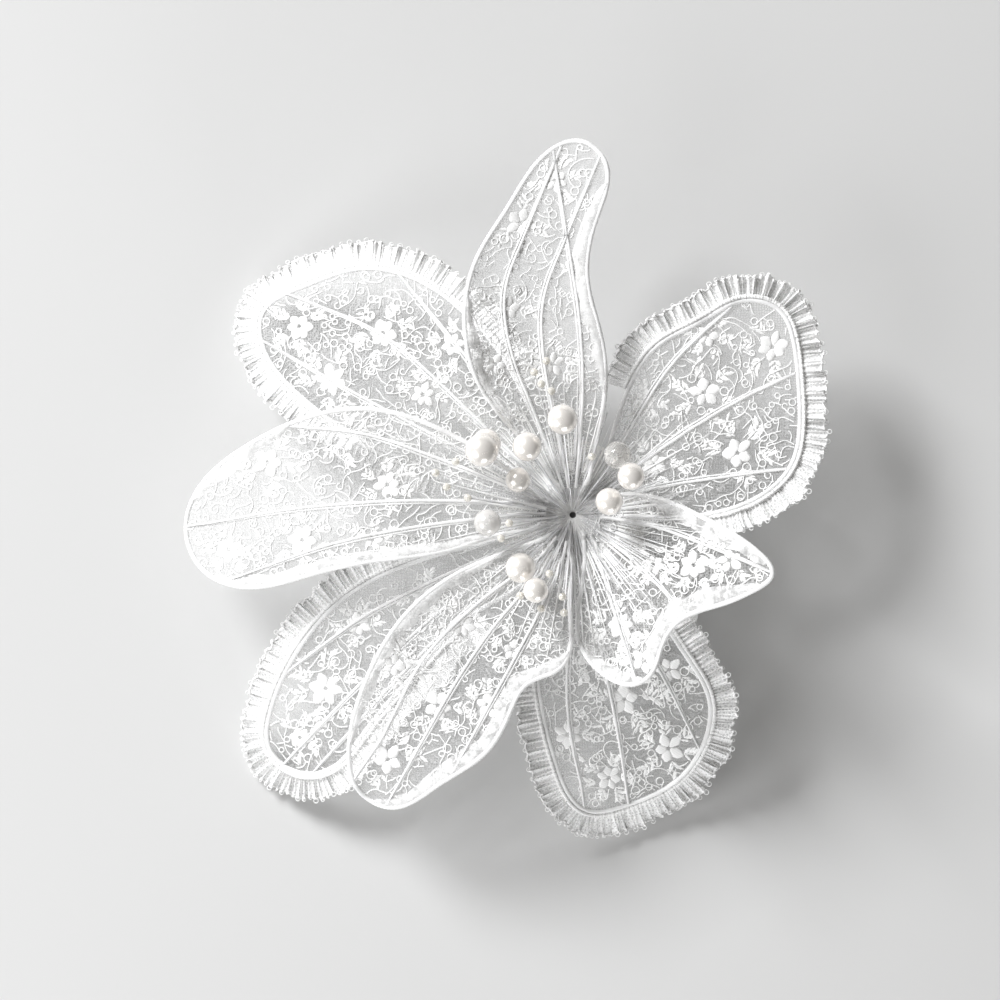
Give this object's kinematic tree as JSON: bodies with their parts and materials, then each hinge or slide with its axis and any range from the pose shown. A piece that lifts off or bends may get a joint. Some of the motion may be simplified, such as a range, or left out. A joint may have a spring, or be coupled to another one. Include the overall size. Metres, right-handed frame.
{
  "type": "flower hair clip",
  "caption": "White lace flower with wired petals, ruffled outer petals and pearl stamens, bound through a felt base onto a sprung alligator hair clip.",
  "frame": {"origin": "on the flat underside of the lower jaw, straight below the throat of the flower", "axes": "+Z out of the flower's face, +Y towards the tip of the top front petal, +X to the right seen from the front; the clip runs at 45 degrees between +X and -Y"},
  "size_m": [0.1287, 0.1399, 0.0433],
  "materials": {
    "embroidered_net": "sheer white net with raised vermicelli embroidery",
    "thread_wrapped_wire": "fine wire closely wrapped in white thread",
    "vein_wire": "fine white covered wire with a faint silver sheen",
    "lace_ruffle": "gathered scalloped lace edging",
    "pearl": "warm white pearl coating",
    "milky_bead": "milky translucent bead",
    "crackle_bead": "clear crackled bead",
    "seed_bead": "small clear bead with a warm tint",
    "stamen_wire": "fine silvered wire",
    "stamen_filament": "clear to white nylon filament",
    "stem_tape": "white floral tape",
    "binding_thread": "white cotton thread",
    "felt": "white pressed felt",
    "white_lacquered_steel": "satin white lacquer on sprung sheet steel",
    "pin_steel": "bright rivet steel",
    "spring_steel": "bright spring wire"
  },
  "bodies": {
    "flower_and_upper_jaw": {"back_bottom_edge_wire": "thread_wrapped_wire", "back_bottom_lace": "embroidered_net", "back_bottom_ruffle": "lace_ruffle", "back_bottom_veins": "vein_wire", "back_lower_left_edge_wire": "thread_wrapped_wire", "back_lower_left_lace": "embroidered_net", "back_lower_left_ruffle": "lace_ruffle", "back_lower_left_veins": "vein_wire", "back_upper_left_edge_wire": "thread_wrapped_wire", "back_upper_left_lace": "embroidered_net", "back_upper_left_ruffle": "lace_ruffle", "back_upper_left_veins": "vein_wire", "back_upper_right_edge_wire": "thread_wrapped_wire", "back_upper_right_lace": "embroidered_net", "back_upper_right_ruffle": "lace_ruffle", "back_upper_right_veins": "vein_wire", "bead_sprays": "stamen_filament", "binding_thread": "binding_thread", "clip_spring": "spring_steel", "felt_base": "felt", "felt_strap": "felt", "front_left_edge_wire": "thread_wrapped_wire", "front_left_lace": "embroidered_net", "front_left_veins": "vein_wire", "front_lower_left_edge_wire": "thread_wrapped_wire", "front_lower_left_lace": "embroidered_net", "front_lower_left_veins": "vein_wire", "front_lower_right_edge_wire": "thread_wrapped_wire", "front_lower_right_lace": "embroidered_net", "front_lower_right_veins": "vein_wire", "front_top_edge_wire": "thread_wrapped_wire", "front_top_lace": "embroidered_net", "front_top_veins": "vein_wire", "hinge_pin": "pin_steel", "pearl_01": "pearl", "pearl_02": "pearl", "pearl_03": "pearl", "pearl_04": "pearl", "pearl_05": "pearl", "pearl_06": "milky_bead", "pearl_07": "pearl", "pearl_08": "pearl", "pearl_09": "pearl", "pearl_10": "pearl", "pearl_11": "crackle_bead", "pearl_stems": "stamen_wire", "seed_beads": "seed_bead", "stamen_filaments": "stamen_filament", "stem_bundle": "stem_tape", "upper_jaw": "white_lacquered_steel"},
    "lower_jaw": {"lower_jaw": "white_lacquered_steel"}
  },
  "joints": [
    {"name": "jaw_hinge", "type": "hinge", "parent": "flower_and_upper_jaw", "child": "lower_jaw", "pos_m": [0.01273, -0.01273, 0.0044], "axis": [-0.7071, -0.7071, 0], "range_deg": [0, 38], "stiffness_Nm_per_rad": 0.05, "springref_deg": -57.3, "deforming": ["clip_spring"]}
  ]
}
